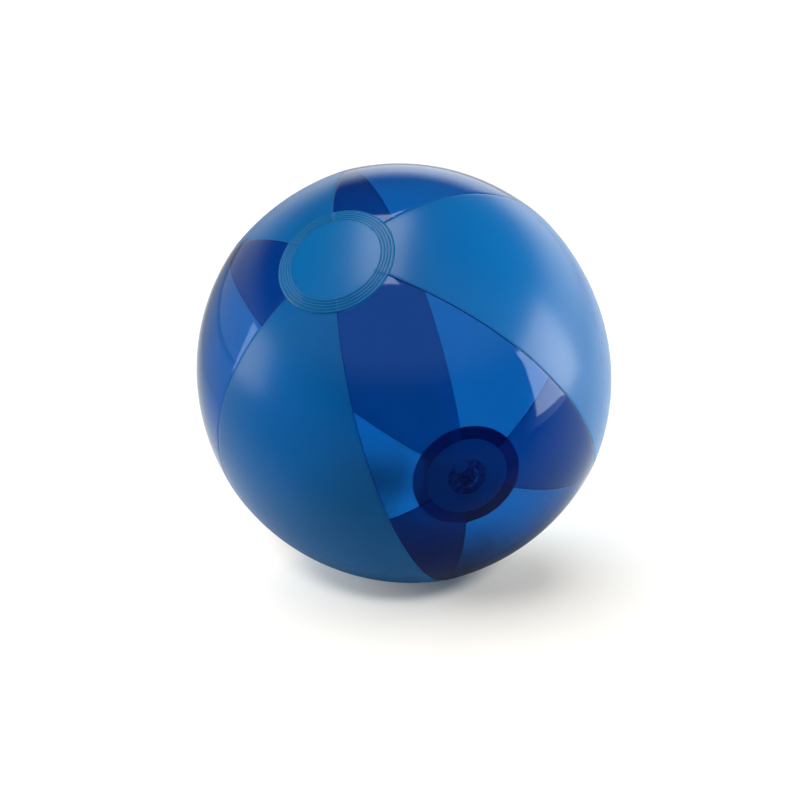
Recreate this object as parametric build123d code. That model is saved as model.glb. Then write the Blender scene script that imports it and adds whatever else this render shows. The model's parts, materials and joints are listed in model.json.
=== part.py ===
from build123d import *

import os
from math import asin, copysign, cos, degrees, hypot, radians, sin, sqrt

# An inflatable beach ball: six gores of vinyl film, welded along six seams, with a round film disc
# over each pole. The valve is in the middle of one disc. The ball lies on a flat surface with its
# poles tilted. Its centre is the origin, +Z is up, and all sizes are in millimetres.

# The inflated skin. Its meridian is a slightly squared ellipse, flatter at the poles than a sphere.
ball_radius = 118.0
polar_stretch = 1.02
fullness = 2.1
film = 0.2

# How the ball lies: the plain pole leans away from upright, towards pole_heading about +Z.
pole_tilt = 39.1
pole_heading = -120.3
flat_depth = 0.33
flat_margin = 0.5

# The seams, by their angle about the poles. Angle 0 is the meridian that meets the ground. The gores
# are cut alike, but the welds sit a few degrees off even spacing, as they do on a cheap ball.
seam_angles = [25.0, 87.0, 151.0, 209.0, 260.0, 326.0]
seam_weld = 2.0
gore_names = [
    "gore_front_clear",
    "gore_right_frosted",
    "gore_top_clear",
    "gore_top_left_frosted",
    "gore_left_clear",
    "gore_bottom_frosted",
]
resting_gore = "gore_bottom_frosted"

# The end discs, and the ribbed band that welds each one to the ends of the gores.
disc_radius = 33.5
weld_band = 8.0
rib_count = 4
rib_pitch = 1.8
rib_radius = 0.35

# The valve, in its own frame: +Z out of the ball, 0 on the skin. It is shown pushed in and plugged.
hole_radius = 7.8
flange_bore = 7.6
flange_radius = 12.0
flange_thickness = 0.8
stem_radius = 5.0
stem_rim_radius = 5.9
stem_rim_thickness = 1.2
stem_top = -0.9
stem_length = 12.1
stem_bore = 3.0
mouth_radius = 3.8
seat_depth = 5.1
web_top = -0.4
web_thickness = 0.5
web_depth = 6.0
running_gap = 0.05
plug_head_radius = 5.2
plug_head_thickness = 1.2
plug_length = 4.3
plug_nose_radius = 2.0
plug_bulge = 0.2
tab_reach = 7.0
tab_width = 4.0
strap_reach = 6.95
strap_width = 3.0
strap_thickness = 0.7
strap_joint = 0.3
flap_radius = 4.3
flap_thickness = 0.5
flap_tab_width = 3.6

stem_end = stem_top - stem_length
skin_steps = 24
disc_steps = 8


def skin_radius(angle):
    """Distance of the skin from the centre, at an angle in degrees from the plain pole."""
    across = abs(sin(radians(angle))) ** fullness
    along = abs(cos(radians(angle)) / polar_stretch) ** fullness
    return ball_radius * (across + along) ** (-1 / fullness)


def skin_point(angle, depth):
    """Point of the meridian in the XZ plane, at a depth below the skin along its normal."""
    x = skin_radius(angle) * sin(radians(angle))
    z = skin_radius(angle) * cos(radians(angle))
    across = abs(x) ** (fullness - 1)
    along = copysign(abs(z) ** (fullness - 1), z) / polar_stretch**fullness
    size = hypot(across, along)
    return Vector(x - depth * across / size, 0, z - depth * along / size)


def angle_at(radius):
    """Angle from a pole, in degrees, of the circle of that radius round the pole."""
    return degrees(asin(radius / (ball_radius * polar_stretch)))


def strip(first, last, outer, inner, steps):
    """Section of a layer of film between two angles from the plain pole and two depths."""
    angles = [first + (last - first) * i / steps for i in range(steps + 1)]
    outside = [skin_point(a, outer) for a in angles]
    inside = [skin_point(a, inner) for a in angles]
    edges = [
        Spline(*outside),
        Line(outside[-1], inside[-1]),
        Spline(*inside),
        Line(inside[0], outside[0]),
    ]
    return make_face(edges)


def ring_of(points):
    """Solid of revolution about Z from an outline of (radius, height) points."""
    outline = Polyline(*[Vector(r, 0, z) for r, z in points], close=True)
    return revolve(make_face(outline), Axis.Z)


disc_angle = angle_at(disc_radius)
gore_end = angle_at(disc_radius - weld_band)
ball_frame = Location((0, 0, 0), (0, 0, pole_heading)) * Location((0, 0, 0), (0, pole_tilt, 0))
valve_height = ball_radius * polar_stretch
valve_frame = ball_frame * Location((0, 0, -valve_height), (0, 180, 0))


def lowest_angle():
    """Angle from the plain pole of the skin's lowest point, as the ball lies."""
    down = 180 - pole_tilt
    near = [down + 0.01 * i for i in range(-600, 601)]
    return max(near, key=lambda a: skin_radius(a) * cos(radians(a - down)))


def ground_point():
    """Centre of the flat that the ball rests on."""
    touch = ball_frame * Pos(skin_point(lowest_angle(), 0))
    return touch.position + Vector(0, 0, flat_depth)


def gore(width):
    """One gore, from angle 0 to its width about the poles, with its inward weld edges."""
    skin = revolve(strip(gore_end, 180 - gore_end, 0, film, skin_steps), Axis.Z, width)
    weld = strip(gore_end, 180 - gore_end, film / 2, film + seam_weld, skin_steps)
    first_weld = extrude(weld, film, dir=(0, 1, 0))
    last_weld = Rot(0, 0, width) * extrude(weld, film, dir=(0, -1, 0))
    return skin + first_weld + last_weld


def flattened(part):
    """The gore that meets the ground, with the small flat where the ball's weight presses it."""
    ground = ground_point()
    below = Pos(ground.X, ground.Y, ground.Z) * Box(
        ball_radius, ball_radius, ball_radius, align=(Align.CENTER, Align.CENTER, Align.MAX)
    )
    flat_radius = sqrt(2 * ball_radius * flat_depth) - flat_margin
    flat = Pos(ground.X, ground.Y, ground.Z) * Cylinder(
        flat_radius, film, align=(Align.CENTER, Align.CENTER, Align.MIN)
    )
    return part - below + flat


def end_disc():
    """Film disc over the plain pole, with the ribs of its weld band standing on its outside."""
    disc = revolve(strip(0, disc_angle, -film, 0, disc_steps), Axis.Z)
    under = revolve(strip(0, disc_angle, -film / 2, 2 * rib_radius, disc_steps), Axis.Z)
    for i in range(rib_count):
        ring_radius = disc_radius - weld_band / 2 + (i - (rib_count - 1) / 2) * rib_pitch
        crest = skin_point(angle_at(ring_radius), -film)
        rib = revolve(Pos(crest) * (Plane.XZ * Circle(rib_radius)), Axis.Z)
        disc += rib - under
    return disc


def pierced_disc():
    """The same disc at the other pole, with the valve's hole."""
    return Rot(180, 0, 0) * (end_disc() - Cylinder(hole_radius, 3 * ball_radius))


def flange():
    """Moulded ring inside the valve disc, in the ball's frame."""
    inner_edge = angle_at(flange_bore - flange_thickness)
    section = strip(180 - angle_at(flange_radius), 180 - inner_edge, 0, flange_thickness, disc_steps)
    return revolve(section, Axis.Z) - Cylinder(flange_bore, 3 * ball_radius)


def web():
    """Thin cone from the flange down to the stem, which turns inside out with the stem."""
    inner = stem_radius + 2 * running_gap
    low = web_top - web_depth
    points = [(flange_bore, web_top), (flange_bore, web_top - web_thickness)]
    points += [(inner, low - web_thickness), (inner, low)]
    return ring_of(points)


def stem():
    """Tube with a rim and a conical mouth for the plug."""
    shoulder = stem_top - stem_rim_thickness
    points = [(stem_bore, stem_end), (stem_radius, stem_end), (stem_radius, shoulder)]
    points += [(stem_rim_radius, shoulder), (stem_rim_radius, stem_top)]
    points += [(mouth_radius, stem_top), (stem_bore, stem_top - seat_depth)]
    return ring_of(points)


def plug():
    """Round-nosed stopper, its head and the tab that a finger lifts."""
    low = stem_top - plug_length
    root = Vector(mouth_radius - running_gap, 0, stem_top)
    nose = Vector(plug_nose_radius, 0, low)
    bulge = Vector((root.X + nose.X) / 2 + plug_bulge, 0, (root.Z + nose.Z) / 2)
    top = Vector(0, 0, stem_top + running_gap)
    edges = [
        Line(top, Vector(root.X, 0, top.Z)),
        Line(Vector(root.X, 0, top.Z), root),
        ThreePointArc(root, bulge, nose),
        Line(nose, Vector(0, 0, low)),
        Line(Vector(0, 0, low), top),
    ]
    shank = revolve(make_face(edges), Axis.Z)
    on_top = (Align.CENTER, Align.CENTER, Align.MIN)
    head = Pos(top) * Cylinder(plug_head_radius, plug_head_thickness, align=on_top)
    tab = Pos(-tab_reach, 0, top.Z) * Box(
        tab_reach, tab_width, plug_head_thickness, align=(Align.MIN, Align.CENTER, Align.MIN)
    )
    return shank + head + fillet(tab.edges().filter_by(Axis.Z).group_by(Axis.X)[0], tab_width * 0.4)


def strap():
    """Short strap, folded from the plug's head down to the stem's rim."""
    on_end = (Align.MIN, Align.CENTER, Align.MIN)
    head_side = plug_head_radius - strap_joint
    root_side = stem_rim_radius + running_gap
    fold = strap_reach - strap_thickness
    top = stem_top + running_gap + (plug_head_thickness - strap_thickness) / 2
    low = stem_top - (stem_rim_thickness + strap_thickness) / 2
    upper = Pos(head_side, 0, top) * Box(strap_reach - head_side, strap_width, strap_thickness, align=on_end)
    upright = Pos(fold, 0, low) * Box(strap_thickness, strap_width, top - low, align=on_end)
    lower = Pos(root_side, 0, low) * Box(fold - root_side, strap_width, strap_thickness, align=on_end)
    return upper + upright + lower


def flap():
    """Soft disc that closes the stem's inner end, hinged at one edge."""
    top = stem_end - 2 * running_gap
    under = (Align.CENTER, Align.CENTER, Align.MAX)
    disc = Pos(0, 0, top) * Cylinder(flap_radius, flap_thickness, align=under)
    tab = Pos(-stem_radius, 0, top) * Box(
        stem_radius, flap_tab_width, flap_thickness, align=(Align.MIN, Align.CENTER, Align.MAX)
    )
    return disc + tab


def save(name, part):
    part.label = name
    export_step(part, f"parts/{name}.step")


os.makedirs("parts", exist_ok=True)
for name, start, end in zip(gore_names, seam_angles, seam_angles[1:] + seam_angles[:1]):
    placed = ball_frame * Rot(0, 0, start) * gore((end - start) % 360)
    if name == resting_gore:
        placed = flattened(placed)
    save(name, placed)
save("plain_disc", ball_frame * end_disc())
save("valve_disc", ball_frame * pierced_disc())
save("valve_flange", ball_frame * flange())
save("valve_web", valve_frame * web())
save("valve_stem", valve_frame * stem())
save("valve_plug", valve_frame * plug())
save("plug_strap", valve_frame * strap())
save("valve_flap", valve_frame * flap())
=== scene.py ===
import json
import math

import bmesh
import bpy
import numpy as np
from mathutils import Matrix, Quaternion, Vector


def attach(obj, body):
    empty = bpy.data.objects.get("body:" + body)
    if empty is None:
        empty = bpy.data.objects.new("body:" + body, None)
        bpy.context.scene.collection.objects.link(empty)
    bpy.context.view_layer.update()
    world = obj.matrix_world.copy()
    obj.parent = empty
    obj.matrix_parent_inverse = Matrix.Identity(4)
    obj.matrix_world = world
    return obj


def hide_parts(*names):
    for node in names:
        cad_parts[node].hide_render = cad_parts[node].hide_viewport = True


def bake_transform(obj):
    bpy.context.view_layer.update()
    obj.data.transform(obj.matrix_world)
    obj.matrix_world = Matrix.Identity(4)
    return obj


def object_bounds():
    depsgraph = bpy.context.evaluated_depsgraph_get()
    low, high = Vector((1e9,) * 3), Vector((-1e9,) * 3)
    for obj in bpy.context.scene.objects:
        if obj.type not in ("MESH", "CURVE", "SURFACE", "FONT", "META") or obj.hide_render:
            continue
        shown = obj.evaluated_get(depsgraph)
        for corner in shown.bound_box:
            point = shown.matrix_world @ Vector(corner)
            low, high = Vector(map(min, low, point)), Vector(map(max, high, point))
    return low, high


# An inflatable beach ball: six gores of vinyl film, frosted and clear in turn, a film disc over each
# pole, and a moulded valve in one disc. Lengths are in metres unless a name says millimetres.

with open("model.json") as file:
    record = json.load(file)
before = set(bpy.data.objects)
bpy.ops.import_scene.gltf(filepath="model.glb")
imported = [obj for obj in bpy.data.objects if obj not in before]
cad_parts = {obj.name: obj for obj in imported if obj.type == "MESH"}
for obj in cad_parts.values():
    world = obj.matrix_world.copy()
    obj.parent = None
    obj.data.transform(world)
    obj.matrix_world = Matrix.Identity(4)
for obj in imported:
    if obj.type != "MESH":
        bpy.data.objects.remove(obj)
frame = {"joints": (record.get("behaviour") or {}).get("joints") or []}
cad_low, cad_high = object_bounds()

MM = 0.001

# The skin, as the frame has it.
BALL_RADIUS = 118.0 * MM
POLAR_STRETCH = 1.02
FULLNESS = 2.1
FILM = 0.2 * MM
SEAM_ANGLES = (25.0, 87.0, 151.0, 209.0, 260.0, 326.0)
GORES = (
    ("gore_front_clear", "film_front_clear", "clear_film"),
    ("gore_right_frosted", "film_right_frosted", "frosted_film"),
    ("gore_top_clear", "film_top_clear", "clear_film"),
    ("gore_top_left_frosted", "film_top_left_frosted", "frosted_film"),
    ("gore_left_clear", "film_left_clear", "clear_film"),
    ("gore_bottom_frosted", "film_bottom_frosted", "frosted_film"),
)
SEAM_WELD = 0.6 * MM
DISC_RADIUS = 33.5 * MM
WELD_BAND = 8.0 * MM
RIB_COUNT = 5
RIB_PITCH = 1.62 * MM
RIB_HEIGHT = 0.35 * MM

# How the air pressure shapes the film: the seams hold it out a little, and it draws in along each weld.
SEAM_STAND = 0.004
CREASE_DEPTH = 0.28 * MM
CREASE_WIDTH = 0.75 * MM
SEAM_LUMP = 0.2 * MM
SEAM_LUMP_WIDTH = 0.9 * MM
LUMP_INSIDE = 0.9
BAND_RISE = 2.0 * MM
DISC_EDGE_WIDTH, DISC_EDGE_FILM = 0.3 * MM, 0.3
CLEARANCE = 0.03 * MM
WELD_GAP = 0.01 * MM

# The seams hold the film out less near the poles and near the ground: where that starts, and over what
# angle it grows to all of it, in radians.
POLE_FADE = 0.18, 0.35
GROUND_FADE = 0.1, 0.3

# Mesh density. Columns lie closer together beside a seam: in millimetres from it on the gores, and in
# degrees from it on the discs.
GORE_ROWS = 130
GORE_COLUMNS = 26
SEAM_COLUMNS = (0.0, 0.12, 0.3, 0.55, 0.9, 1.4, 2.1, 3.2, 4.8)
DISC_SEAM_COLUMNS = (-6, -4.4, -3.2, -2.3, -1.6, -1, -0.5, 0, 0.5, 1, 1.6, 2.3, 3.2, 4.4, 6)
DISC_COLUMNS = 16
DISC_ROWS, BAND_ROWS = 14, 74
LATHE_STEPS = 96
VALVE_STEPS = 128
BEVEL_STEPS = 6
SAME_POINT, NO_LENGTH = 1e-7, 1e-8

# A corner nearer the axis than ON_AXIS stays sharp, and no rounding takes more than MOST_CUT of a side.
# Edges above the SHARP angles, in degrees, are shaded sharp.
ON_AXIS = 1e-9
MOST_CUT = 0.45
FILM_SHARP, VALVE_SHARP = 60, 45

# What each material looks like. Two colours are the ends of a faint cloudiness, and passes is the share
# of light that goes through. Clear film mirrors MIRROR_AHEAD of the light seen straight on, and more the
# steeper it is seen. CLOUD grades the noise from low..high to 0..1.
CLOUD, VALVE_CLOUD = (0.3, 0.7, 0.0, 1.0), (0.35, 0.65, 0.0, 1.0)
CLEAR_TINT = (0.20, 0.54, 0.775), (0.23, 0.565, 0.79)
CLEAR_ROUGHNESS, VALVE_ROUGHNESS = 0.06, (0.22, 0.34)
MIRROR_AHEAD, MIRROR_POWER = 0.04, 5.0
FROSTED = {"colours": ((0.0, 0.35, 0.82), (0.0, 0.39, 0.88)), "passes": 0.55, "roughness": 0.27}
DISC = {"colours": ((0.0, 0.44, 0.93), (0.004, 0.48, 0.98)), "passes": 0.55, "roughness": 0.29}
# The valve disc is the same film as the plain disc, made darker and passing less light: painted shade for
# the shaded floor under the ball that it faces.
SHADED_VALVE_DISC = {"colours": ((0.0, 0.30, 0.66), (0.004, 0.34, 0.72)), "passes": 0.35, "roughness": 0.29}
MOULDED = {"colours": ((0.10, 0.36, 0.76), (0.13, 0.40, 0.80)), "passes": 0.45}
# The flap is the valve's moulded vinyl made much lighter: painted light on the flap, which faces the
# ball's dim inside.
LIT_FLAP = {"colours": ((0.42, 0.66, 0.93), (0.48, 0.70, 0.96)), "passes": 0.0}

ball_pieces = bpy.data.collections.new("beach_ball")
bpy.context.scene.collection.children.link(ball_pieces)
floor_pieces = bpy.data.collections.new("floor")
bpy.context.scene.collection.children.link(floor_pieces)

joints = {j["name"]: j for j in frame["joints"]}
valve_out = Vector(joints["valve_travel"]["axis"]).normalized()
pole = -valve_out
downhill = (Vector((0, 0, -1)) + pole * pole.z).normalized()
sideways = pole.cross(downhill)
VALVE_HEIGHT = BALL_RADIUS * POLAR_STRETCH
FLOOR_Z = cad_low.z

valve_axes = Matrix((-downhill, sideways, valve_out)).transposed().to_4x4()
valve_axes.translation = valve_out * VALVE_HEIGHT


# ---------------------------------------------------------------- the shape of the skin


def smooth(t):
    """0 to 1, easing in and out."""
    t = np.clip(t, 0, 1)
    return t * t * (3 - 2 * t)


def skin_radius(theta):
    """Distance of the skin from the centre, at an angle from the plain pole."""
    across = np.abs(np.sin(theta)) ** FULLNESS
    along = np.abs(np.cos(theta) / POLAR_STRETCH) ** FULLNESS
    return BALL_RADIUS * (across + along) ** (-1 / FULLNESS)


def angle_at(radius):
    """Angle from a pole of the circle of that radius round it."""
    return np.arcsin(radius / (BALL_RADIUS * POLAR_STRETCH))


def seam_angles():
    """The seams' angles about the poles, in order, with the first one again after a full turn."""
    return np.radians([*SEAM_ANGLES, SEAM_ANGLES[0] + 360])


def seam_distance(phi):
    """The angle to the nearest seam, from an angle about the poles, and its share of half a gore."""
    edges = seam_angles()
    turn = (phi - edges[0]) % (2 * math.pi) + edges[0]
    k = np.clip(np.searchsorted(edges, turn, side="right") - 1, 0, len(edges) - 2)
    near = np.minimum(turn - edges[k], edges[k + 1] - turn)
    return near, np.clip(near / ((edges[k + 1] - edges[k]) / 2), 0, 1)


def swell(theta, phi):
    """How much further out the pressure and the seams hold the skin, as a share of its radius."""
    share = seam_distance(phi)[1]
    shape = 2 * (1 - share) ** 2 - 1
    from_pole = smooth((np.minimum(theta, math.pi - theta) - POLE_FADE[0]) / POLE_FADE[1])
    low = math.pi - math.acos(pole.z)
    to_ground = np.hypot(theta - low, np.sin(theta) * ((phi + math.pi) % (2 * math.pi) - math.pi))
    from_ground = smooth((to_ground - GROUND_FADE[0]) / GROUND_FADE[1])
    return SEAM_STAND * np.sin(theta) * shape * from_pole * from_ground


def skin(theta, phi, depth):
    """Points at an angle from the plain pole, an angle about the poles and a depth below the skin."""
    theta, phi, depth = np.broadcast_arrays(theta, phi, depth)
    r = skin_radius(theta) * (1 + swell(theta, phi))
    x, z = r * np.sin(theta), r * np.cos(theta)
    across = np.abs(x) ** (FULLNESS - 1)
    along = np.sign(z) * np.abs(z) ** (FULLNESS - 1) / POLAR_STRETCH**FULLNESS
    size = np.hypot(across, along)
    out, up = x - depth * across / size, z - depth * along / size
    points = (out * np.cos(phi))[..., None] * np.array(downhill)
    points = points + (out * np.sin(phi))[..., None] * np.array(sideways)
    points = points + up[..., None] * np.array(pole)
    points[..., 2] = np.maximum(points[..., 2], FLOOR_Z + np.maximum(depth, 0))
    return points


# ---------------------------------------------------------------- mesh building


def grid_faces(index, wrap):
    """Quads over a grid of vertex numbers. wrap joins the last column to the first."""
    if wrap:
        index = np.concatenate([index, index[:, :1]], axis=1)
    a, b, c, d = index[:-1, :-1], index[:-1, 1:], index[1:, 1:], index[1:, :-1]
    return np.stack([a, b, c, d], axis=-1).reshape(-1, 4)


def new_piece(name, points, faces, body, slot, material, sharp=VALVE_SHARP):
    """A mesh object of the ball, riding on a body if one is given."""
    mesh = bpy.data.meshes.new(name)
    mesh.from_pydata([tuple(p) for p in points], [], [tuple(f) for f in faces])
    merge(mesh)
    mesh.shade_smooth()
    mesh.set_sharp_from_angle(angle=math.radians(sharp))
    mesh.materials.append(material)
    piece = bpy.data.objects.new(name, mesh)
    ball_pieces.objects.link(piece)
    if body:
        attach(piece, body)
    return piece


def merge(mesh):
    """Joins vertices that coincide, drops bare edges, and turns every face outwards."""
    bm = bmesh.new()
    bm.from_mesh(mesh)
    bmesh.ops.remove_doubles(bm, verts=bm.verts, dist=SAME_POINT)
    bmesh.ops.dissolve_degenerate(bm, edges=bm.edges, dist=NO_LENGTH)
    bare = [edge for edge in bm.edges if not edge.link_faces]
    bmesh.ops.delete(bm, geom=bare, context="EDGES")
    bmesh.ops.recalc_face_normals(bm, faces=bm.faces)
    bm.to_mesh(mesh)
    bm.free()


def slab(outer, inner, wrap=False):
    """Points and faces of a closed layer between two grids of points of the same size."""
    rows, columns = outer.shape[:2]
    count = rows * columns
    top = np.arange(count).reshape(rows, columns)
    low = top + count
    faces = [grid_faces(top, wrap), grid_faces(low, wrap)[:, ::-1]]
    for edge in (0, -1):
        faces.append(grid_faces(np.stack([top[edge], low[edge]]), wrap))
        if not wrap:
            faces.append(grid_faces(np.stack([top[:, edge], low[:, edge]]), False))
    points = np.concatenate([outer.reshape(-1, 3), inner.reshape(-1, 3)])
    return points, np.concatenate(faces)


def rounded(corners, radius, steps=5):
    """A closed outline with its corners rounded. A corner on the axis stays sharp."""
    out = []
    count = len(corners)
    for i, (r, z) in enumerate(corners):
        here = Vector((r, z))
        if r < ON_AXIS:
            out.append(tuple(here))
            continue
        before = Vector(corners[i - 1]) - here
        after = Vector(corners[(i + 1) % count]) - here
        cut = min(radius, before.length * MOST_CUT, after.length * MOST_CUT)
        start, end = here + before.normalized() * cut, here + after.normalized() * cut
        for k in range(steps + 1):
            t = k / steps
            out.append(tuple(start * (1 - t) ** 2 + here * 2 * t * (1 - t) + end * t * t))
    return out


def lathe(outline, axes, steps=LATHE_STEPS):
    """Points and faces of a closed solid of revolution about Z, from (radius, height) in millimetres."""
    turn = np.linspace(0, 2 * math.pi, steps, endpoint=False)
    r, z = np.array(outline).T * MM
    grid = np.stack(
        [
            np.outer(r, np.cos(turn)),
            np.outer(r, np.sin(turn)),
            np.outer(z, np.ones(steps)),
        ],
        axis=-1,
    )
    index = np.arange(len(r) * steps).reshape(len(r), steps)
    index = np.concatenate([index, index[:1]])
    return placed(grid.reshape(-1, 3), axes), grid_faces(index, True)


def plate(outline, low, high, bevel, axes):
    """Points and faces of a flat piece of a convex outline, in millimetres, with rounded edges."""
    flat = np.array(outline)
    middle = flat.mean(0)
    rings = []
    for k in range(BEVEL_STEPS + 1):
        turn = math.pi / 2 * k / BEVEL_STEPS
        inset = bevel * (1 - math.sin(turn))
        away = flat - middle
        ring = middle + away * (1 - inset / np.linalg.norm(away, axis=1, keepdims=True))
        rings.append((ring, low + bevel * (1 - math.cos(turn))))
    rings += [(ring, low + high - z) for ring, z in reversed(rings)]
    points, rows = [], []
    for ring, z in [(np.repeat(middle[None], len(flat), 0), low), *rings]:
        rows.append(np.column_stack([ring, np.full(len(flat), z)]))
    rows.append(np.column_stack([np.repeat(middle[None], len(flat), 0), np.full(len(flat), high)]))
    points = np.concatenate(rows) * MM
    index = np.arange(len(points)).reshape(len(rows), len(flat))
    return placed(points, axes), grid_faces(index, True)


def placed(points, axes):
    """Points turned and moved by a matrix."""
    turn, move = np.array(axes.to_3x3()), np.array(axes.translation)
    return points @ turn.T + move


def joined(*shapes):
    """Several (points, faces) as one."""
    points, faces, start = [], [], 0
    for p, f in shapes:
        points.append(p)
        faces.append(f + start)
        start += len(p)
    return np.concatenate(points), np.concatenate(faces)


# ---------------------------------------------------------------- materials


class Nodes:
    """A short way to make and wire shader nodes."""

    def __init__(self, material):
        material.use_nodes = True
        self.tree = material.node_tree
        self.tree.nodes.clear()

    def add(self, kind, inputs=None, **settings):
        node = self.tree.nodes.new(kind)
        for key, value in settings.items():
            setattr(node, key, value)
        for key, value in (inputs or {}).items():
            if isinstance(value, bpy.types.NodeSocket):
                self.tree.links.new(value, node.inputs[key])
            else:
                node.inputs[key].default_value = value
        return node

    def finish(self, kind, socket):
        out = self.add(kind)
        self.tree.links.new(socket, out.inputs["Surface"])


def noise(n, scale, detail=3.0, roughness=0.5):
    """Noise fixed to the object."""
    place = n.add("ShaderNodeTexCoord").outputs["Object"]
    return n.add(
        "ShaderNodeTexNoise",
        {"Vector": place, "Scale": scale, "Detail": detail, "Roughness": roughness},
    ).outputs["Fac"]


def graded(n, value, low, high, out_low, out_high, easing="LINEAR"):
    """value from low..high to out_low..out_high."""
    return n.add(
        "ShaderNodeMapRange",
        {"Value": value, "From Min": low, "From Max": high, "To Min": out_low, "To Max": out_high},
        interpolation_type=easing,
    ).outputs["Result"]


def product(n, a, b):
    return n.add("ShaderNodeMath", {0: a, 1: b}, operation="MULTIPLY").outputs["Value"]


def bump(n, strength, distance, scale):
    """A normal with fine bumps of that height in metres."""
    bumps = {"Strength": strength, "Distance": distance, "Height": noise(n, scale, 2.0)}
    return n.add("ShaderNodeBump", bumps).outputs["Normal"]


def two_colours(n, factor, a, b):
    """From colour a to colour b."""
    mix = n.add("ShaderNodeMix", data_type="RGBA")
    n.tree.links.new(factor, mix.inputs["Factor"])
    mix.inputs["A"].default_value = (*a, 1)
    mix.inputs["B"].default_value = (*b, 1)
    return mix.outputs["Result"]


def mixed(n, factor, a, b):
    """From shader a to shader b."""
    return n.add("ShaderNodeMixShader", {0: factor, 1: a, 2: b}).outputs["Shader"]


def blended(n, factor, a, b):
    """From value a to value b."""
    mix = n.add("ShaderNodeMix", {"Factor": factor, "A": a, "B": b}, data_type="FLOAT")
    return mix.outputs["Result"]


def clear_vinyl():
    """Tinted clear film: it passes light unbent, and mirrors by its angle."""
    material = bpy.data.materials.new("clear_vinyl")
    n = Nodes(material)
    cloud = graded(n, noise(n, 14.0), *CLOUD)
    tint = two_colours(n, cloud, *CLEAR_TINT)
    wave = bump(n, 0.06, 0.0006, 22.0)
    through = n.add("ShaderNodeBsdfTransparent", {"Color": tint})
    gloss = n.add("ShaderNodeBsdfGlossy", {"Roughness": CLEAR_ROUGHNESS, "Normal": wave})
    facing = n.add("ShaderNodeLayerWeight", {"Blend": 0.5, "Normal": wave}).outputs["Facing"]
    steep = n.add("ShaderNodeMath", {0: facing, 1: MIRROR_POWER}, operation="POWER").outputs["Value"]
    mirror = graded(n, steep, 0.0, 1.0, MIRROR_AHEAD, 1.0)
    film = mixed(n, mirror, through.outputs["BSDF"], gloss.outputs["BSDF"])
    n.finish("ShaderNodeOutputMaterial", film)
    return material


def frosted_vinyl(name, colours, passes, roughness):
    """Frosted film: a satin skin that scatters light back and lets some blur through."""
    material = bpy.data.materials.new(name)
    n = Nodes(material)
    cloud = graded(n, noise(n, 11.0), *CLOUD)
    colour = two_colours(n, cloud, *colours)
    grain = bump(n, 0.04, 0.0003, 900.0)
    body = n.add(
        "ShaderNodeBsdfPrincipled",
        {
            "Base Color": colour,
            "Roughness": roughness,
            "IOR": 1.45,
            "Transmission Weight": passes,
            "Normal": grain,
        },
    )
    n.finish("ShaderNodeOutputMaterial", body.outputs["BSDF"])
    return material


def moulded_vinyl(name, colours, passes):
    """Soft moulded vinyl of the valve."""
    material = bpy.data.materials.new(name)
    n = Nodes(material)
    cloud = graded(n, noise(n, 160.0), *VALVE_CLOUD)
    colour = two_colours(n, cloud, *colours)
    grain = bump(n, 0.06, 0.0001, 1200.0)
    rough = graded(n, noise(n, 300.0), *CLOUD[:2], *VALVE_ROUGHNESS)
    body = n.add(
        "ShaderNodeBsdfPrincipled",
        {
            "Base Color": colour,
            "Roughness": rough,
            "IOR": 1.5,
            "Transmission Weight": passes,
            "Normal": grain,
        },
    )
    n.finish("ShaderNodeOutputMaterial", body.outputs["BSDF"])
    return material


# ---------------------------------------------------------------- the film pieces


def gore_piece(node, name, slot, first, last, material):
    """One gore: a closed skin of film between two seams, with its weld edges turned into the ball."""
    end = angle_at(DISC_RADIUS - WELD_BAND)
    theta = np.linspace(end, math.pi - end, GORE_ROWS)[:, None]
    ring = skin_radius(theta) * np.sin(theta)
    edge = np.array(SEAM_COLUMNS)[None] * MM / ring
    middle = np.linspace(0, 1, GORE_COLUMNS)[None, 1:-1]
    inner_start, inner_end = first + edge[:, -1:], last - edge[:, -1:]
    phi = np.concatenate(
        [first + edge, inner_start + (inner_end - inner_start) * middle, (last - edge)[:, ::-1]], axis=1
    )
    off = np.minimum(phi - first, last - phi) * ring
    crease = CREASE_DEPTH * np.exp(-off / CREASE_WIDTH)
    thick = FILM / ring
    in_phi = np.clip(phi, first + thick, last - thick)
    drops = np.array([1.0, 0.5])[None] * SEAM_WELD * np.ones_like(ring)
    ones = np.ones_like(drops)
    first_weld = FILM + CREASE_DEPTH + drops
    last_weld = first_weld[:, ::-1]
    outer_phi = np.concatenate([first * ones, phi, last * ones], axis=1)
    outer_depth = np.concatenate([first_weld, crease, last_weld], axis=1)
    inner_phi = np.concatenate([(first + thick) * ones, in_phi, (last - thick) * ones], axis=1)
    inner_depth = np.concatenate([first_weld, crease + FILM, last_weld], axis=1)
    gap = WELD_GAP / ring
    outer_phi = np.clip(outer_phi, first + gap, last - gap)
    points, faces = slab(skin(theta, outer_phi, outer_depth), skin(theta, inner_phi, inner_depth))
    piece = new_piece(name, points, faces, "shell", slot, material, FILM_SHARP)
    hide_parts(node)
    return piece


def disc_columns():
    """Angles about the poles for the discs, closer together at each seam."""
    fine = np.radians(np.array(DISC_SEAM_COLUMNS))
    out = []
    edges = seam_angles()
    for a, b in zip(edges[:-1], edges[1:]):
        out.append(a + fine)
        out.append(np.linspace(a + fine[-1], b + fine[0], DISC_COLUMNS)[1:-1])
    return np.concatenate(out)


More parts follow.
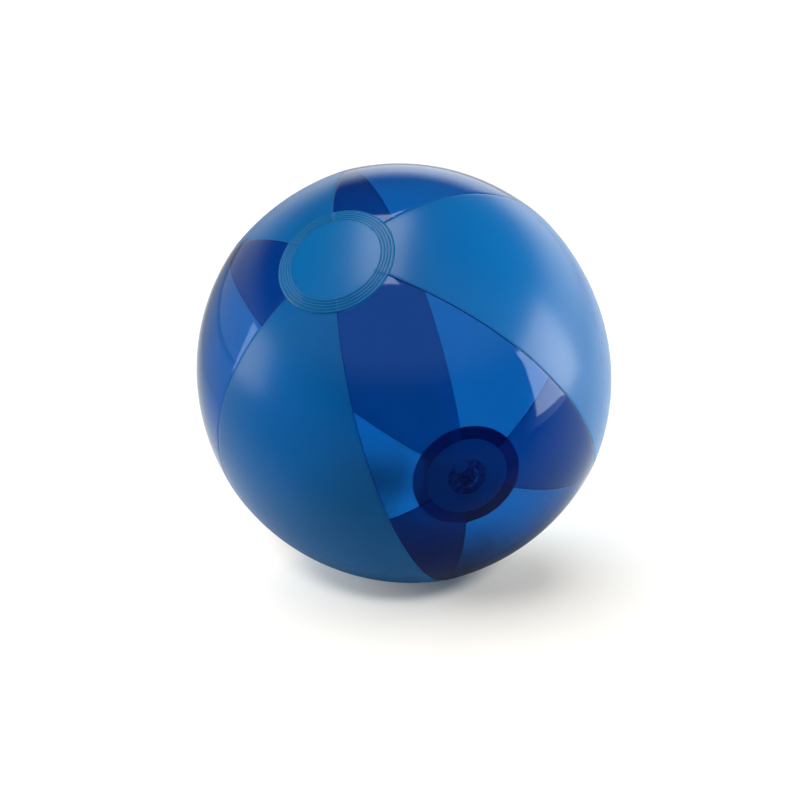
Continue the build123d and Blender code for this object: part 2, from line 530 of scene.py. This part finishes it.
def disc_piece(node, name, inner_radius, plain, material):
    """Film disc over a pole, with its ribbed weld band and the lumps where the seams run under it."""
    inside = DISC_RADIUS - WELD_BAND - MM
    plain_rows = np.linspace(inner_radius, inside, DISC_ROWS)
    band_rows = np.linspace(inside, DISC_RADIUS, BAND_ROWS)
    radii = np.concatenate([plain_rows, band_rows[1:]])[:, None]
    phi = disc_columns()[None]
    band = DISC_RADIUS - WELD_BAND / 2
    ribs = np.zeros_like(radii)
    for i in range(RIB_COUNT):
        away = np.abs(radii - band - (i - (RIB_COUNT - 1) / 2) * RIB_PITCH) / RIB_HEIGHT
        ribs = np.maximum(ribs, RIB_HEIGHT * np.sqrt(np.clip(1 - away**2, 0, 1)))
    in_band = smooth((radii - inside) / BAND_RISE)
    lump = SEAM_LUMP * np.exp(-((seam_distance(phi)[0] * radii / SEAM_LUMP_WIDTH) ** 2)) * in_band
    from_edge = smooth((DISC_RADIUS - radii) / DISC_EDGE_WIDTH)
    thick = FILM * (DISC_EDGE_FILM + (1 - DISC_EDGE_FILM) * from_edge)
    outer = -CLEARANCE - thick - ribs - lump
    inner = -CLEARANCE - lump * LUMP_INSIDE
    theta = angle_at(radii)
    if not plain:
        theta = math.pi - theta
    points, faces = slab(skin(theta, phi, outer), skin(theta, phi, inner), wrap=True)
    piece = new_piece(name, points, faces, "shell", "disc_film", material, FILM_SHARP)
    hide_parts(node)
    return piece


# ---------------------------------------------------------------- the valve, sizes in millimetres

HOLE_RADIUS = 7.8
FLANGE_BORE, FLANGE_RADIUS, FLANGE_THICKNESS = 7.6, 12.0, 0.8
STEM_RADIUS, STEM_RIM_RADIUS, STEM_RIM_THICKNESS = 5.0, 5.9, 1.2
STEM_TOP, STEM_LENGTH, STEM_BORE = -0.9, 12.1, 3.0
MOUTH_RADIUS, SEAT_DEPTH = 3.8, 5.1
WEB_TOP, WEB_THICKNESS, WEB_DEPTH = -0.4, 0.5, 6.0
RUNNING_GAP = 0.05
PLUG_HEAD_RADIUS, PLUG_HEAD_THICKNESS = 5.2, 1.2
PLUG_LENGTH, PLUG_NOSE_RADIUS = 4.3, 2.0
TAB_REACH, TAB_WIDTH = 7.0, 4.0
STRAP_REACH, STRAP_WIDTH, STRAP_THICKNESS, STRAP_JOINT = 6.95, 3.0, 0.7, 0.3
FLAP_RADIUS, FLAP_THICKNESS, FLAP_TAB_WIDTH = 4.3, 0.5, 3.6
STEM_END = STEM_TOP - STEM_LENGTH

# Shaping that only the visual pieces have: rounded edges, the web's wave, the plug's waist and the dish
# in its head, the strap's fold, and the flap's dome and lobes.
FLANGE_TOP, FLANGE_ROUND = 0.03, 0.3
WEB_WAVE = 0.25
STEM_ROUND, PLUG_ROUND, TAB_BEVEL = 0.35, 0.35, 0.3
PLUG_WAIST = 0.55
DISH_TOP, DISH_LOW, DISH_DEPTH = 1.6, 1.9, 0.25
STRAP_ROUND, STRAP_BEND = 0.2, 0.3
FLAP_ROUND, FLAP_BEVEL, FLAP_TAB_CUT = 0.15, 0.12, 0.4
DOME_MIDDLE, DOME_HALF = 0.15, 0.1
LOBE_DEPTH, LOBE_OFF, LOBE_LONG, LOBE_WIDE, LOBE_STEPS = 0.75, 1.9, 2.6, 1.25, 32


def skin_height(radius):
    """Height of the skin in the valve's frame, in millimetres, at a radius from its axis."""
    angle = angle_at(radius * MM)
    return float(skin_radius(angle) * np.cos(angle) - VALVE_HEIGHT) / MM


def flange_piece(material):
    """Moulded ring on the inside of the valve disc."""
    radii = np.linspace(FLANGE_BORE, FLANGE_RADIUS, 7)
    top = [(r, skin_height(r) - FLANGE_TOP) for r in radii]
    low = [(r, skin_height(r) - FLANGE_THICKNESS) for r in radii]
    outline = rounded(top + low[::-1], FLANGE_ROUND)
    shape = lathe(outline, valve_axes, VALVE_STEPS)
    piece = new_piece("valve_base_ring", *shape, "shell", "valve_vinyl", material)
    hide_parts("valve_flange")
    return piece


def web_piece(material):
    """Thin cone that runs from the ball down to the stem, with a slight wave along it."""
    inner = STEM_RADIUS + 2 * RUNNING_GAP
    steps = np.linspace(0, 1, 25)
    radii = FLANGE_BORE + (inner - FLANGE_BORE) * steps
    heights = WEB_TOP - WEB_DEPTH * steps - WEB_WAVE * np.sin(2 * math.pi * steps)
    top = list(zip(radii, heights))
    low = [(r, z - WEB_THICKNESS) for r, z in top]
    shape = lathe(top + low[::-1], valve_axes, VALVE_STEPS)
    piece = new_piece("valve_web_cone", *shape, None, "valve_vinyl", material)
    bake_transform(piece)
    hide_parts("valve_web")
    return piece


def stem_piece(material):
    """Tube with a rim at its outer end and a conical mouth for the plug."""
    shoulder = STEM_TOP - STEM_RIM_THICKNESS
    outline = [
        (STEM_BORE, STEM_END),
        (STEM_RADIUS, STEM_END),
        (STEM_RADIUS, shoulder),
        (STEM_RIM_RADIUS, shoulder),
        (STEM_RIM_RADIUS, STEM_TOP),
        (MOUTH_RADIUS, STEM_TOP),
        (STEM_BORE, STEM_TOP - SEAT_DEPTH),
    ]
    shape = lathe(rounded(outline, STEM_ROUND), valve_axes)
    piece = new_piece("valve_tube", *shape, "stem", "valve_vinyl", material)
    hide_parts("valve_stem")
    return piece


def tab_outline():
    """The plug's tab, seen from above: a strip with a round end."""
    half = TAB_WIDTH / 2
    centre = -(TAB_REACH - half)
    turn = np.linspace(math.pi / 2, 3 * math.pi / 2, 24)
    end = [(centre + half * math.cos(t), half * math.sin(t)) for t in turn]
    return [(0.0, half), *end, (0.0, -half)]


def plug_piece(material):
    """Round-nosed stopper with a head, and the tab that a finger lifts."""
    low = STEM_TOP - PLUG_LENGTH
    base = STEM_TOP + RUNNING_GAP
    top = base + PLUG_HEAD_THICKNESS
    root = MOUTH_RADIUS - RUNNING_GAP
    shank = [
        (0.0, low),
        (PLUG_NOSE_RADIUS, low),
        (root - PLUG_WAIST, (low + STEM_TOP) / 2),
        (root, STEM_TOP),
        (root, base),
        (PLUG_HEAD_RADIUS, base),
        (PLUG_HEAD_RADIUS, top),
        (PLUG_HEAD_RADIUS - DISH_TOP, top),
        (PLUG_HEAD_RADIUS - DISH_LOW, top - DISH_DEPTH),
        (0.0, top - DISH_DEPTH),
    ]
    shape = joined(
        lathe(rounded(shank, PLUG_ROUND), valve_axes),
        plate(tab_outline(), base, top, TAB_BEVEL, valve_axes),
    )
    piece = new_piece("valve_stopper", *shape, "plug", "valve_vinyl", material)
    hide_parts("valve_plug")
    return piece


def strap_piece(material):
    """Short ribbon, folded from the plug's head down to the stem's rim."""
    top = STEM_TOP + RUNNING_GAP + PLUG_HEAD_THICKNESS / 2
    low = STEM_TOP - STEM_RIM_THICKNESS / 2
    fold = STRAP_REACH - STRAP_THICKNESS / 2
    head_side, root_side = PLUG_HEAD_RADIUS - STRAP_JOINT, STEM_RIM_RADIUS + RUNNING_GAP
    turn = np.linspace(-math.pi / 2, math.pi / 2, 15)
    middle, reach = (top + low) / 2, (top - low) / 2
    path = [(root_side, low)]
    path += [(fold - STRAP_BEND * (1 - math.cos(t)), middle + reach * math.sin(t)) for t in turn]
    path += [(head_side, top)]
    path = np.array(path)
    along = np.gradient(path, axis=0)
    along /= np.linalg.norm(along, axis=1, keepdims=True)
    normal = np.column_stack([-along[:, 1], along[:, 0]])
    half_w, half_t = STRAP_WIDTH / 2, STRAP_THICKNESS / 2
    corners = [(half_w, half_t), (half_w, -half_t), (-half_w, -half_t), (-half_w, half_t)]
    section = rounded(corners, STRAP_ROUND, 3)
    rows = []
    for p, k in zip(path, normal):
        rows.append([(p[0] + k[0] * t, w, p[1] + k[1] * t) for w, t in section])
    rows = np.array(rows) * MM
    count = len(section)
    ends = [np.repeat(rows[i].mean(0)[None], count, 0)[None] for i in (0, -1)]
    rows = np.concatenate([ends[0], rows, ends[1]])
    index = np.arange(rows.shape[0] * count).reshape(-1, count)
    shape = placed(rows.reshape(-1, 3), valve_axes), grid_faces(index, True)
    piece = new_piece("valve_strap", *shape, None, "valve_vinyl", material)
    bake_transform(piece)
    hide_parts("plug_strap")
    return piece


def flap_piece(material):
    """Soft disc over the stem's inner end, with two lobes and the tab that it hinges on."""
    top = STEM_END - 2 * RUNNING_GAP
    low = top - FLAP_THICKNESS
    dome = [(0.0, low - DOME_MIDDLE), (FLAP_RADIUS / 2, low - DOME_HALF), (FLAP_RADIUS, low)]
    dome += [(FLAP_RADIUS, top), (0.0, top)]
    half, side, cut = FLAP_TAB_WIDTH / 2, -STEM_RADIUS, FLAP_TAB_CUT
    tab = [(0.0, half), (side + cut, half), (side, half - cut)]
    tab += [(side, cut - half), (side + cut, -half), (0.0, -half)]
    lobe = [(math.sin(t), low - LOBE_DEPTH * math.cos(t)) for t in np.linspace(0, math.pi, 13)]
    lobes = []
    for sign in (-1, 1):
        place = valve_axes @ Matrix.Translation((0, sign * LOBE_OFF * MM, 0))
        lobes.append(lathe(lobe, place @ Matrix.Diagonal((LOBE_LONG, LOBE_WIDE, 1, 1)), LOBE_STEPS))
    disc = lathe(rounded(dome, FLAP_ROUND), valve_axes)
    shape = joined(disc, plate(tab, low, top, FLAP_BEVEL, valve_axes), *lobes)
    piece = new_piece("valve_flap_disc", *shape, "flap", "flap_film", material)
    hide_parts("valve_flap")
    return piece


# ---------------------------------------------------------------- the studio

CAMERA_ELEVATION = math.radians(22.0)
CAMERA_DISTANCE = 15.0 * BALL_RADIUS
CAMERA_LENS = 138.9
BALL_LEFT, BALL_BELOW = 0.0214, 0.1293

# The floor. The camera sees it white, a little warmer near the ball: a painted warm tint that cancels the
# blue of the ball's shadow. The ball mirrors it by FLOOR_BOUNCE and is lit by it by FLOOR_GLOW, each from
# front to back. It mirrors less of it on the left, and under the ball a painted shadow darkens what it
# mirrors. Past TABLE_EDGE, a direction and a distance, the ball sees no floor.
FLOOR_RINGS = (0.001, 0.15, 0.4, 1.0, 2.5, 6.0)
FLOOR_SIDES = 96
FLOOR_DROP = 0.05 * MM
FLOOR_SHADOW_WARMTH, FLOOR_SEEN = (1.0, 0.96, 0.87), (1.0, 0.99, 0.96)
NEAR_TO_SEEN = 1.1 * BALL_RADIUS, 2.0 * BALL_RADIUS
FLOOR_BOUNCE = (0.05, 0.9)
FLOOR_GLOW = (0.32, 0.8)
FRONT_TO_BACK = -0.15, 0.08
LEFT_TO_RIGHT = -0.4, -0.1
LEFT_SHARE = 0.4
# Painted shadow in what the ball mirrors: the floor darker near its foot, growing to full brightness
# further out.
FOOT_SHADOW_TO_OPEN = 0.9 * BALL_RADIUS, 1.7 * BALL_RADIUS, 0.05, 1.0
TABLE_EDGE = ((0.58, -0.81), 0.345)

# The room's brightness: its ceiling in front, and the sweep behind the ball, from low to high.
BACK_FROM = -0.35, 0.15, 0.0, 1.0
CEILING = 0.12, 0.5, 0.02, 0.3
SWEEP = 0.22, 0.5, 1.5, 0.08
SWEEP_SIDE = -0.5, 0.1, LEFT_SHARE, 1.0

# Unseen forms that shade the floor: width, depth, height and place, all as shares of the ball's radius.
ROUND_SHADE = 0.6, 0.57, 0.57, (0.33, -0.10)
KEY_SHADE = 0.58, 0.7, 0.7, (-0.02, -0.08)
BACK_SHADE = 0.45, 0.5, 0.36, (-0.2, 0.8)
SHADE_ROWS, SHADE_STEPS = 33, 64

# The lights. The key and the floor light reach only the floor, and the glow is the light that comes
# through the ball to the floor behind its foot. The others reach only the ball.
KEY_TOWARDS, KEY_STRENGTH, KEY_ANGLE = (0.08, -0.8, 0.95), 1.35, math.radians(16)
GLOW_PLACE = Vector((0.18 * BALL_RADIUS, 0.64 * BALL_RADIUS, FLOOR_Z + 0.35 * BALL_RADIUS))
GLOW_AIM = GLOW_PLACE.x, GLOW_PLACE.y, FLOOR_Z
GLOW_SIZE = 0.4 * BALL_RADIUS
GLOW_COLOUR = (0.8, 1.0, 0.9)
FLOOR_LIGHT = {"place": (-0.5, 0.1, 1.5), "aim": (0, 0, 0), "size": (4.0, 4.0), "radiance": 1.22}
GLOW_LIGHT = {"place": GLOW_PLACE, "aim": GLOW_AIM, "size": (GLOW_SIZE, GLOW_SIZE), "radiance": 6.0}
TOP_LIGHT = {"place": (-0.27, 0.03, 1.4), "aim": (-0.1, 0, 0), "size": (1.1, 0.5), "radiance": 4.4}
RIGHT_PLACE, RIGHT_AIM = (1.2, -0.07, 0.12), (0, -0.07, 0.12)
RIGHT_LIGHT = {"place": RIGHT_PLACE, "aim": RIGHT_AIM, "size": (0.8, 0.75), "radiance": 4.2}
RIGHT_LEAN = 0.29
LEFT_LIGHT = {"place": (-1.2, -0.05, 0.15), "aim": (0, 0, 0.1), "size": (0.5, 0.5), "radiance": 2.6}


def floor():
    """Plain white floor, much wider than the view."""
    turn = np.linspace(0, 2 * math.pi, FLOOR_SIDES, endpoint=False)
    height = FLOOR_Z - FLOOR_DROP
    points = [(r * math.cos(t), r * math.sin(t), height) for r in FLOOR_RINGS for t in turn]
    index = np.arange(len(points)).reshape(len(FLOOR_RINGS), -1)
    middle = tuple(range(FLOOR_SIDES - 1, -1, -1))
    mesh = bpy.data.meshes.new("studio_floor")
    mesh.from_pydata(points, [], [tuple(f) for f in grid_faces(index, True)] + [middle])
    mesh.materials.append(floor_paint())
    ground = bpy.data.objects.new("studio_floor", mesh)
    floor_pieces.objects.link(ground)


def floor_paint():
    """White to the camera, and graded for what the ball mirrors of it and is lit by it."""
    material = bpy.data.materials.new("studio_floor")
    n = Nodes(material)
    place = n.add("ShaderNodeTexCoord").outputs["Object"]
    split = n.add("ShaderNodeSeparateXYZ", {0: place}).outputs
    away = n.add("ShaderNodeVectorMath", {0: place}, operation="LENGTH").outputs["Value"]
    lit = graded(n, split["Y"], *FRONT_TO_BACK, *FLOOR_BOUNCE)
    lit = product(n, lit, graded(n, split["X"], *LEFT_TO_RIGHT, LEFT_SHARE, 1.0))
    # The ball mirrors the floor darker near its foot, which is a painted shadow.
    mirrored = product(n, lit, graded(n, away, *FOOT_SHADOW_TO_OPEN))
    soft_lit = graded(n, split["Y"], *FRONT_TO_BACK, *FLOOR_GLOW)
    path = n.add("ShaderNodeLightPath").outputs
    lit = blended(n, path["Is Glossy Ray"], soft_lit, mirrored)
    (a, b), reach = TABLE_EDGE
    along = n.add("ShaderNodeVectorMath", {0: place, 1: (a, b, 0)}, operation="DOT_PRODUCT")
    past = n.add("ShaderNodeMath", {0: along.outputs["Value"], 1: reach}, operation="GREATER_THAN")
    bounce = n.add("ShaderNodeBsdfDiffuse", {"Color": lit}).outputs["BSDF"]
    gone = n.add("ShaderNodeBsdfTransparent").outputs["BSDF"]
    bounce = mixed(n, past.outputs["Value"], bounce, gone)
    # Painted warm tint near the ball, where the ball's shadow falls, to cancel its blue.
    white = two_colours(n, graded(n, away, *NEAR_TO_SEEN, 0.0, 1.0), FLOOR_SHADOW_WARMTH, FLOOR_SEEN)
    paint = n.add("ShaderNodeBsdfDiffuse", {"Color": white}).outputs["BSDF"]
    n.finish("ShaderNodeOutputMaterial", mixed(n, path["Is Camera Ray"], bounce, paint))
    return material


def add_lamp(light, turn, on, shaded_by):
    """Puts a light in the scene, for some pieces alone and blocked by some pieces alone."""
    lamp = bpy.data.objects.new(light.name, light)
    lamp.rotation_mode = "QUATERNION"
    lamp.rotation_quaternion = turn
    lamp.light_linking.receiver_collection = on
    lamp.light_linking.blocker_collection = shaded_by
    bpy.context.scene.collection.objects.link(lamp)
    return lamp


def softbox(name, place, aim, size, radiance, on, shaded_by=None, lean=0.0, colour=(1, 1, 1)):
    """A rectangular light. Its power is worked out from how bright its face is."""
    light = bpy.data.lights.new(name, "AREA")
    light.shape = "RECTANGLE"
    light.size, light.size_y = size
    light.energy = radiance * math.pi * size[0] * size[1]
    light.color = colour
    turn = (Vector(aim) - Vector(place)).to_track_quat("-Z", "Y") @ Quaternion((0, 0, 1), lean)
    lamp = add_lamp(light, turn, on, shaded_by)
    lamp.location = place
    lamp.visible_camera = False


def floor_key(shaded_by):
    """A broad key light on the floor, from a direction."""
    light = bpy.data.lights.new("floor_key", "SUN")
    light.angle = KEY_ANGLE
    light.energy = KEY_STRENGTH
    turn = (-Vector(KEY_TOWARDS)).to_track_quat("-Z", "Y")
    add_lamp(light, turn, floor_pieces, shaded_by)


def shade(name, *forms):
    """Unseen forms that only shade one of the floor's lights, because thin film lets most light by."""
    turn = np.linspace(0, math.pi, SHADE_ROWS)
    outline = [(BALL_RADIUS / MM * math.sin(t), BALL_RADIUS / MM * math.cos(t)) for t in turn]
    shapes = []
    for width, depth, height, (x, y) in forms:
        where = Matrix.Translation((x * BALL_RADIUS, y * BALL_RADIUS, FLOOR_Z + height * BALL_RADIUS))
        shapes.append(lathe(outline, where @ Matrix.Diagonal((width, depth, height, 1)), SHADE_STEPS))
    points, faces = joined(*shapes)
    mesh = bpy.data.meshes.new(name)
    mesh.from_pydata([tuple(p) for p in points], [], [tuple(f) for f in faces])
    merge(mesh)
    form = bpy.data.objects.new(name, mesh)
    form.visible_camera = form.visible_diffuse = form.visible_glossy = form.visible_transmission = False
    collection = bpy.data.collections.new(name)
    bpy.context.scene.collection.children.link(collection)
    collection.objects.link(form)
    return collection


def room():
    """Pale room behind the ball and dark behind the camera, with a pale ceiling."""
    world = bpy.data.worlds.new("studio")
    bpy.context.scene.world = world
    n = Nodes(world)
    direction = n.add("ShaderNodeTexCoord").outputs["Generated"]
    split = n.add("ShaderNodeSeparateXYZ", {0: direction}).outputs
    back = graded(n, split["Y"], *BACK_FROM, "SMOOTHSTEP")
    ceiling = graded(n, split["Z"], *CEILING, "SMOOTHSTEP")
    sweep = graded(n, split["Z"], *SWEEP, "SMOOTHSTEP")
    sweep = product(n, sweep, graded(n, split["X"], *SWEEP_SIDE, "SMOOTHSTEP"))
    lit = n.add("ShaderNodeBackground", {"Color": blended(n, back, ceiling, sweep)})
    white = n.add("ShaderNodeBackground", {"Color": (1, 1, 1, 1)})
    seen = n.add("ShaderNodeLightPath").outputs["Is Camera Ray"]
    n.finish("ShaderNodeOutputWorld", mixed(n, seen, lit.outputs[0], white.outputs[0]))


def camera():
    """The view of the ball: from a little above, through a long lens."""
    data = bpy.data.cameras.new("camera")
    data.lens = CAMERA_LENS
    cam = bpy.data.objects.new("camera", data)
    up = Vector((0, math.sin(CAMERA_ELEVATION), math.cos(CAMERA_ELEVATION)))
    back = Vector((0, -math.cos(CAMERA_ELEVATION), math.sin(CAMERA_ELEVATION)))
    target = -Vector((1, 0, 0)) * BALL_LEFT * BALL_RADIUS - up * BALL_BELOW * BALL_RADIUS
    cam.location = target + back * CAMERA_DISTANCE
    cam.rotation_mode = "QUATERNION"
    cam.rotation_quaternion = (-back).to_track_quat("-Z", "Y")
    data.clip_start, data.clip_end = 0.01, 100
    bpy.context.scene.collection.objects.link(cam)
    bpy.context.scene.camera = cam


def render_settings():
    """Enough bounces for light to pass through several layers of film."""
    scene = bpy.context.scene
    scene.view_settings.view_transform = "Standard"
    scene.view_settings.look = "None"
    scene.cycles.use_denoising = True
    scene.cycles.max_bounces = 20
    scene.cycles.diffuse_bounces = 5
    scene.cycles.glossy_bounces = 5
    scene.cycles.transmission_bounces = 12
    scene.cycles.transparent_max_bounces = 32
    scene.cycles.sample_clamp_indirect = 4.0
    scene.cycles.caustics_reflective = True
    scene.cycles.caustics_refractive = True


def studio():
    camera()
    room()
    floor()
    round_shade = shade("floor_light_shade", ROUND_SHADE, BACK_SHADE)
    key_shade = shade("floor_key_shade", KEY_SHADE)
    softbox("floor_light", **FLOOR_LIGHT, on=floor_pieces, shaded_by=round_shade)
    floor_key(key_shade)
    softbox("glow_light", **GLOW_LIGHT, on=floor_pieces, shaded_by=floor_pieces, colour=GLOW_COLOUR)
    softbox("top_light", **TOP_LIGHT, on=ball_pieces)
    softbox("right_light", **RIGHT_LIGHT, on=ball_pieces, lean=RIGHT_LEAN)
    softbox("left_light", **LEFT_LIGHT, on=ball_pieces)
    render_settings()


# ---------------------------------------------------------------- the whole ball


def beach_ball():
    clear = clear_vinyl()
    frosted = frosted_vinyl("frosted_vinyl", **FROSTED)
    disc = frosted_vinyl("disc_vinyl", **DISC)
    # The valve disc takes a darker copy of the disc film, which is painted shade.
    valve_disc = frosted_vinyl("valve_disc_painted_shade_vinyl", **SHADED_VALVE_DISC)
    moulded = moulded_vinyl("moulded_vinyl", **MOULDED)
    # The flap takes a lighter copy of the moulded vinyl, which is painted light.
    lit_flap_vinyl = moulded_vinyl("flap_painted_light_vinyl", **LIT_FLAP)
    edges = seam_angles()
    for (node, name, slot), first, last in zip(GORES, edges[:-1], edges[1:]):
        gore_piece(node, name, slot, first, last, clear if slot == "clear_film" else frosted)
    disc_piece("plain_disc", "end_disc_plain", 0.0, True, disc)
    disc_piece("valve_disc", "end_disc_valve", HOLE_RADIUS * MM, False, valve_disc)
    flange_piece(moulded)
    web_piece(moulded)
    stem_piece(moulded)
    plug_piece(moulded)
    strap_piece(moulded)
    flap_piece(lit_flap_vinyl)


studio()
beach_ball()
